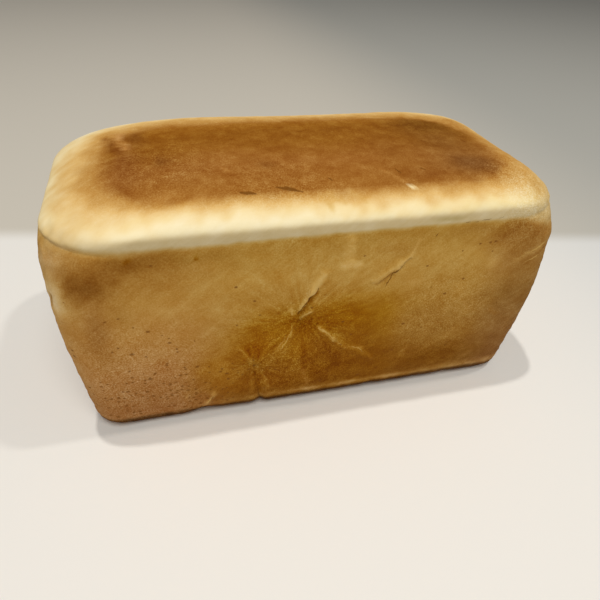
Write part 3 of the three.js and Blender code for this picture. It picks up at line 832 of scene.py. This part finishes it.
# Flakes and ridges of crust that stayed pale, laid out in the same way.
FLAKE_TONE = (0.68, 0.44, 0.13)
FRONT_FLAKES = [
    [(-9, 74.5, 0.6), (-7.4, 77.6, 1.9), (-5.6, 80.4, 1.6), (-3.8, 83.4, 0.6)],
    [(-15, 63, 0.3), (-12.4, 68, 0.7), (-9.6, 73, 0.5)],
    [(-17.6, 66.5, 0.2), (-17, 61.5, 0.4)],
    [(-12.4, 60, 0.2), (-9, 62.8, 0.4)],
    [(-4.4, 53, 0.1), (-2, 50.6, 0.5), (1.6, 47, 0.15)],
    [(1.6, 47, 0.05), (6, 41.5, 0.15), (9, 39, 0.05)],
    [(12, 36.8, 0.05), (18.8, 34.8, 0.25), (21, 31.6, 0.1)],
    [(-16.8, 55, 0.1), (-18.4, 49, 0.2), (-22, 42, 0.15)],
    [(-19.4, 51, 0.05), (-23, 43, 0.12)],
    [(6, 88.4, 0.3), (8, 88.8, 0.7), (11, 86.4, 0.3)],
    [(5, 97, 0.2), (8, 96, 0.5), (8.6, 93.4, 0.2)],
    [(37, 91, 0.1), (35.4, 88, 0.35), (29.4, 83.6, 0.35), (21, 78, 0.2)],
    [(-54.4, 16.4, 0.1), (-57.8, 10.6, 0.4)],
    [(-67, 18, 0.2), (-68, 16.4, 0.3)],
    [(-36, 36, 0.05), (-34, 33, 0.15)],
    [(93, 81, 0.1), (100, 84.6, 0.4), (108, 88, 0.2)],
    [(97, 77, 0.1), (104, 81, 0.3)],
]
# Cracks and flakes lie on a flat front and top, and the distance off it counts
# little. Each ends at so many half widths, and the flakes are hatched.
FRONT_AT = -61
TOP_AT = 118
FLATTEN = 0.08
LINE_ENDS = 1.7
HATCHING = {"middle": 0.5, "by": 2.0}
CRACK_COVER = 0.8
# Spots of random tone, and how places waver before pocks, flakes and cracks.
FINE = {"size": 0.65 * MM, "detail": 2, "roughness": 0.6}
BLOTCHES = {"size": 3.2 * MM, "detail": 3, "roughness": 0.6}
MOTTLES = {"size": 9 * MM, "detail": 2, "roughness": 0.5}
WAVERS = {"size": 4 * MM, "detail": 3, "roughness": 0.7}
WAVERS_BY = 2.6 * MM
# Rubbed lines, where the dough slid along the tin. They lean, and are this long,
# deep and high.
RUBS = {"size": 1, "detail": 2, "roughness": 0.6}
RUB_LEAN = math.radians(-38)
RUB_SPOT = (12.5 * MM, 4 * MM, 2 * MM)
# One pock or none to a cell, on a sheet of cells that stands along the loaf. Its
# size is a share of the spacing, and its edge a share of that size.
POCK_SPACING = 2
POCK_NARROWER = 0.75
POCK_SIZE = {"least": 0.14, "further": 0.22}
POCK_EDGE = {"none": 1.4, "full": 0.4}
POCK_COVER = 0.8
# How much each pattern browns the crust, and how far it stands out or is sunk.
BROWNS_BY = {"fine": 1.8, "blotch": 0.6, "mottle": 0.45, "wrinkle": 1.0, "rubbed": 0.3}
STANDS_BY = {
    "fine": 1.5,
    "blotch": 1.0,
    "wrinkle": 3.0,
    "rubbed": 0.5,
    "flake": 0.25,
    "pock": -0.25,
    "crack": -0.35,
}
BUMP = {"Strength": 0.7, "Distance": 0.4 * MM}
# Wrinkles run out from the pinches like spokes, in full over this share of a reach.
SPOKES = {"size": 1 / 7, "detail": 3, "roughness": 0.6, "noise_dimensions": "4D"}
SPOKE_LENGTH = 120 * MM
SPOKES_FULL = 0.2
PINCHES = [
    {"at": (-13, -61, 58), "reach": 60},
    {"at": (-34, -59.5, 32), "reach": 26},
    {"at": (22, 61, 62), "reach": 60},
    {"at": (-112, 6, 56), "reach": 46},
    {"at": (112, 0, 52), "reach": 46},
]

crust = bpy.data.materials.new("crust")
crust.use_nodes = True
tree = crust.node_tree
shader = tree.nodes["Principled BSDF"]
shader.inputs["Roughness"].default_value = 0.75
shader.inputs["Specular IOR Level"].default_value = 0.04


def add_node(kind, **values):
    node = tree.nodes.new(kind)
    for name, value in values.items():
        setattr(node, name, value)
    return node


def join(node, **terms):
    """Gives a node's inputs their links or values, by name or by number."""
    for name, term in terms.items():
        socket = node.inputs[int(name[1:]) if name[0] == "_" else name.replace("_", " ")]
        if isinstance(term, bpy.types.NodeSocket):
            tree.links.new(term, socket)
        else:
            socket.default_value = term
    return node


def numbered(terms):
    return {f"_{i}": term for i, term in enumerate(terms)}


def calculate(operation, *terms):
    return join(add_node("ShaderNodeMath", operation=operation), **numbered(terms)).outputs[0]


def on_vectors(operation, *terms):
    node = join(add_node("ShaderNodeVectorMath", operation=operation), **numbered(terms))
    return node.outputs["Value" if operation in ("DOT_PRODUCT", "DISTANCE", "LENGTH") else "Vector"]


def scaled(vector, by):
    return join(add_node("ShaderNodeVectorMath", operation="SCALE"), Vector=vector, Scale=by).outputs[0]


def stepped(value, start, end):
    """From 0 at the start to 1 at the end, with soft ends."""
    node = add_node("ShaderNodeMapRange", interpolation_type="SMOOTHSTEP")
    return join(node, Value=value, From_Min=start, From_Max=end).outputs["Result"]


def spotted(place, size, detail, roughness, **values):
    """A texture of random spots of about one size."""
    node = add_node("ShaderNodeTexNoise", **values)
    return join(node, Vector=place, Scale=1 / size, Detail=detail, Roughness=roughness)


def spread(spots):
    """A spotted texture's values, from about -0.3 to 0.3."""
    return calculate("SUBTRACT", spots.outputs["Fac"], 0.5)


def added(total, weights):
    """Adds the patterns to a total, each by its weight."""
    for name, weight in weights.items():
        total = calculate("MULTIPLY_ADD", patterns[name], weight, total)
    return total


def mixed(factor, below, above):
    node = add_node("ShaderNodeMix", data_type="RGBA")
    given = [term if isinstance(term, bpy.types.NodeSocket) else (*term, 1) for term in (below, above)]
    return join(node, Factor=factor, A=given[0], B=given[1]).outputs["Result"]


def attribute(name, output):
    return add_node("ShaderNodeAttribute", attribute_name=name).outputs[output]


def along_lines(place, lines, lift_to):
    """From 0 beside the lines to 1 along them."""
    depth = None
    for points in lines:
        for start, end in zip(points, points[1:]):
            begin, run = lift_to(start), lift_to(end) - lift_to(start)
            away = on_vectors("SUBTRACT", place, tuple(begin))
            along = on_vectors("DOT_PRODUCT", away, tuple(run / run.length_squared))
            along = calculate("MINIMUM", calculate("MAXIMUM", along, 0.0), 1.0)
            off = on_vectors("DISTANCE", away, scaled(tuple(run), along))
            width = calculate("MULTIPLY_ADD", along, (end[2] - start[2]) * MM, start[2] * MM)
            inside = calculate("SUBTRACT", LINE_ENDS, calculate("DIVIDE", off, width))
            depth = inside if depth is None else calculate("MAXIMUM", depth, inside)
    return calculate("MINIMUM", calculate("MAXIMUM", depth, 0.0), 1.0)


def on_front(point):
    return Vector((point[0], FRONT_AT * FLATTEN, point[1])) * MM


def on_top(point):
    return Vector((point[0], point[1], TOP_AT * FLATTEN)) * MM


place = add_node("ShaderNodeTexCoord").outputs["Object"]
coarse = attribute("coarse", "Fac")
patterns = {
    "fine": calculate("MULTIPLY", spread(spotted(place, **FINE)), coarse),
    "blotch": calculate("MULTIPLY", spread(spotted(place, **BLOTCHES)), coarse),
    "mottle": spread(spotted(place, **MOTTLES)),
}

wrinkle = 0.0
for pinch in PINCHES:
    away = on_vectors("SUBTRACT", place, tuple(Vector(pinch["at"]) * MM))
    distance = on_vectors("LENGTH", away)
    spokes = spotted(on_vectors("NORMALIZE", away), **SPOKES)
    join(spokes, W=calculate("DIVIDE", distance, SPOKE_LENGTH))
    weight = stepped(distance, pinch["reach"] * MM, SPOKES_FULL * pinch["reach"] * MM)
    wrinkle = calculate("MULTIPLY_ADD", spread(spokes), weight, wrinkle)
patterns["wrinkle"] = wrinkle

leaning = add_node("ShaderNodeMapping", vector_type="TEXTURE")
join(leaning, Vector=place, Rotation=(0, RUB_LEAN, 0), Scale=RUB_SPOT)
patterns["rubbed"] = spread(spotted(leaning.outputs[0], **RUBS))

baked = attribute("baked", "Color")
browned = join(add_node("ShaderNodeGamma"), Color=baked, Gamma=added(1.0, BROWNS_BY))
colour = browned.outputs["Color"]

waver = spotted(place, **WAVERS).outputs["Color"]
waver = scaled(on_vectors("SUBTRACT", waver, (0.5, 0.5, 0.5)), WAVERS_BY)
wavering = on_vectors("ADD", place, waver)

upright = join(add_node("ShaderNodeSeparateXYZ"), Vector=wavering)
upright = join(add_node("ShaderNodeCombineXYZ"), X=upright.outputs["X"], Y=upright.outputs["Z"])
sheet = on_vectors("MULTIPLY", upright.outputs[0], (POCK_NARROWER, 1.0, 1.0))
cells = add_node("ShaderNodeTexVoronoi", voronoi_dimensions="2D")
join(cells, Vector=sheet, Scale=1 / (POCK_SPACING * MM))
chance = join(add_node("ShaderNodeSeparateColor"), Color=cells.outputs["Color"])
has_pock = calculate("LESS_THAN", chance.outputs["Red"], attribute("pocked", "Fac"))
further = chance.outputs["Green"]
pock_size = calculate("MULTIPLY_ADD", further, POCK_SIZE["further"], POCK_SIZE["least"])
off_pock = calculate("DIVIDE", cells.outputs["Distance"], pock_size)
pock = calculate("MULTIPLY", stepped(off_pock, POCK_EDGE["none"], POCK_EDGE["full"]), has_pock)
colour = mixed(calculate("MULTIPLY", pock, POCK_COVER), colour, POCK_TONE)

flat_front = on_vectors("MULTIPLY", wavering, (1, FLATTEN, 1))
flat_top = on_vectors("MULTIPLY", wavering, (1, 1, FLATTEN))
flake = along_lines(flat_front, FRONT_FLAKES, on_front)
hatched = calculate("MULTIPLY_ADD", patterns["rubbed"], HATCHING["by"], HATCHING["middle"])
colour = mixed(calculate("MULTIPLY", flake, hatched), colour, FLAKE_TONE)
crack = calculate(
    "MAXIMUM",
    along_lines(flat_front, FRONT_CRACKS, on_front),
    along_lines(flat_top, TOP_CRACKS, on_top),
)
colour = mixed(calculate("MULTIPLY", crack, CRACK_COVER), colour, CRACK_TONE)
tree.links.new(colour, shader.inputs["Base Color"])

patterns.update(flake=flake, pock=pock, crack=crack)
bump = join(add_node("ShaderNodeBump"), **BUMP, Height=added(0.0, STANDS_BY))
tree.links.new(bump.outputs["Normal"], shader.inputs["Normal"])

loaf.data.materials.clear()
loaf.data.materials.append(crust)
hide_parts("loaf")
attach(loaf, "root")


# ---- The floor ----
# A plain pale table, greyer beyond a soft line behind the loaf, with painted
# shade that darkens it a little to the right. Its lengths are metres.
FLOOR_RADIUS = 6
FLOOR_PALE = (0.84, 0.84, 0.84)
FLOOR_GREY = (0.61, 0.585, 0.535)
TURNS_GREY = {"from": (-0.184, 0.151), "to": (0.277, 0.065), "over": 0.012}
FLOOR_SHADE_RIGHT = {"from": 0.1, "to": 0.45, "tone": (0.72, 0.76, 0.80)}
bpy.ops.object.select_all(action="DESELECT")
bpy.ops.mesh.primitive_circle_add(vertices=96, radius=FLOOR_RADIUS, fill_type="NGON", location=(0, 0, 0))
floor = bpy.context.object
floor.name = "floor"
board = bpy.data.materials.new("board")
board.use_nodes = True
tree = board.node_tree
shader = tree.nodes["Principled BSDF"]
shader.inputs["Roughness"].default_value = 0.7
shader.inputs["Specular IOR Level"].default_value = 0.2
line_from, line_to = Vector(TURNS_GREY["from"]), Vector(TURNS_GREY["to"])
run = (line_to - line_from).normalized()
place = add_node("ShaderNodeTexCoord").outputs["Object"]
away = on_vectors("SUBTRACT", place, (*line_from, 0))
beyond = on_vectors("DOT_PRODUCT", away, (-run.y, run.x, 0))
grey = stepped(beyond, -TURNS_GREY["over"], TURNS_GREY["over"])
# Painted shade, darkening the table towards the right.
dim = stepped(on_vectors("DOT_PRODUCT", place, (1, 0, 0)), FLOOR_SHADE_RIGHT["from"], FLOOR_SHADE_RIGHT["to"])
dim = mixed(dim, (1, 1, 1), FLOOR_SHADE_RIGHT["tone"])
colour = on_vectors("MULTIPLY", mixed(grey, FLOOR_PALE, FLOOR_GREY), dim)
tree.links.new(colour, shader.inputs["Base Color"])
floor.data.materials.append(board)


# ---- Light ----
# Two small lamps high above the table, a wide soft one, and a pale room. All
# three lamps point at the middle of the loaf.
LAMPS_AIM = (0, 0, 50)
ROOM_TINT = (1.0, 0.96, 0.9)
ROOM_GLOW = 0.17
LAMP_TINT = (1.0, 0.95, 0.86)
LAMPS = [
    {"at": (-235, 80, 1960), "across": 65, "watts": 11.5},
    {"at": (780, -120, 1900), "across": 100, "watts": 6.2},
    {"at": (-60, -1100, 1950), "across": 1200, "watts": 24.0},
]
for lamp in LAMPS:
    bpy.ops.object.light_add(type="AREA", location=[c * MM for c in lamp["at"]])
    light = bpy.context.object
    light.data.shape = "DISK"
    light.data.size = lamp["across"] * MM
    light.data.energy = lamp["watts"]
    light.data.color = LAMP_TINT
    aim = Vector([c * MM for c in LAMPS_AIM]) - light.location
    light.rotation_euler = aim.to_track_quat("-Z", "Y").to_euler()

world = bpy.data.worlds.new("room")
world.use_nodes = True
glow = world.node_tree.nodes["Background"]
glow.inputs["Color"].default_value = (*ROOM_TINT, 1)
glow.inputs["Strength"].default_value = ROOM_GLOW
bpy.context.scene.world = world


# ---- Camera ----
# Above the front left, looking down at the long side, with a slight tilt. The
# lens's length is given as a share of the sensor's width.
CAMERA_AT = (-66.5, -232.8, 206.7)
CAMERA_TURN = 16.95
CAMERA_DOWN = 37.17
CAMERA_TILT = -3.57
SENSOR_WIDTH = 36
LENS_SHARE = 0.85

bpy.ops.object.camera_add(location=[c * MM for c in CAMERA_AT])
camera = bpy.context.object
camera.data.sensor_width = SENSOR_WIDTH
camera.data.lens = SENSOR_WIDTH * LENS_SHARE
camera.data.clip_start = 0.01
turn, down, tilt = (math.radians(a) for a in (CAMERA_TURN, CAMERA_DOWN, CAMERA_TILT))
level = Vector((math.sin(turn), math.cos(turn), 0))
right = Vector((math.cos(turn), -math.sin(turn), 0))
forward = math.cos(down) * level + math.sin(down) * Vector((0, 0, -1))
below = -math.sin(down) * level + math.cos(down) * Vector((0, 0, -1))
side = math.cos(tilt) * right + math.sin(tilt) * below
foot = -math.sin(tilt) * right + math.cos(tilt) * below
camera.matrix_world = Matrix.Translation(camera.location) @ Matrix(
    (side, -foot, -forward)
).transposed().to_4x4()
bpy.context.scene.camera = camera
bpy.context.scene.view_settings.view_transform = "Standard"
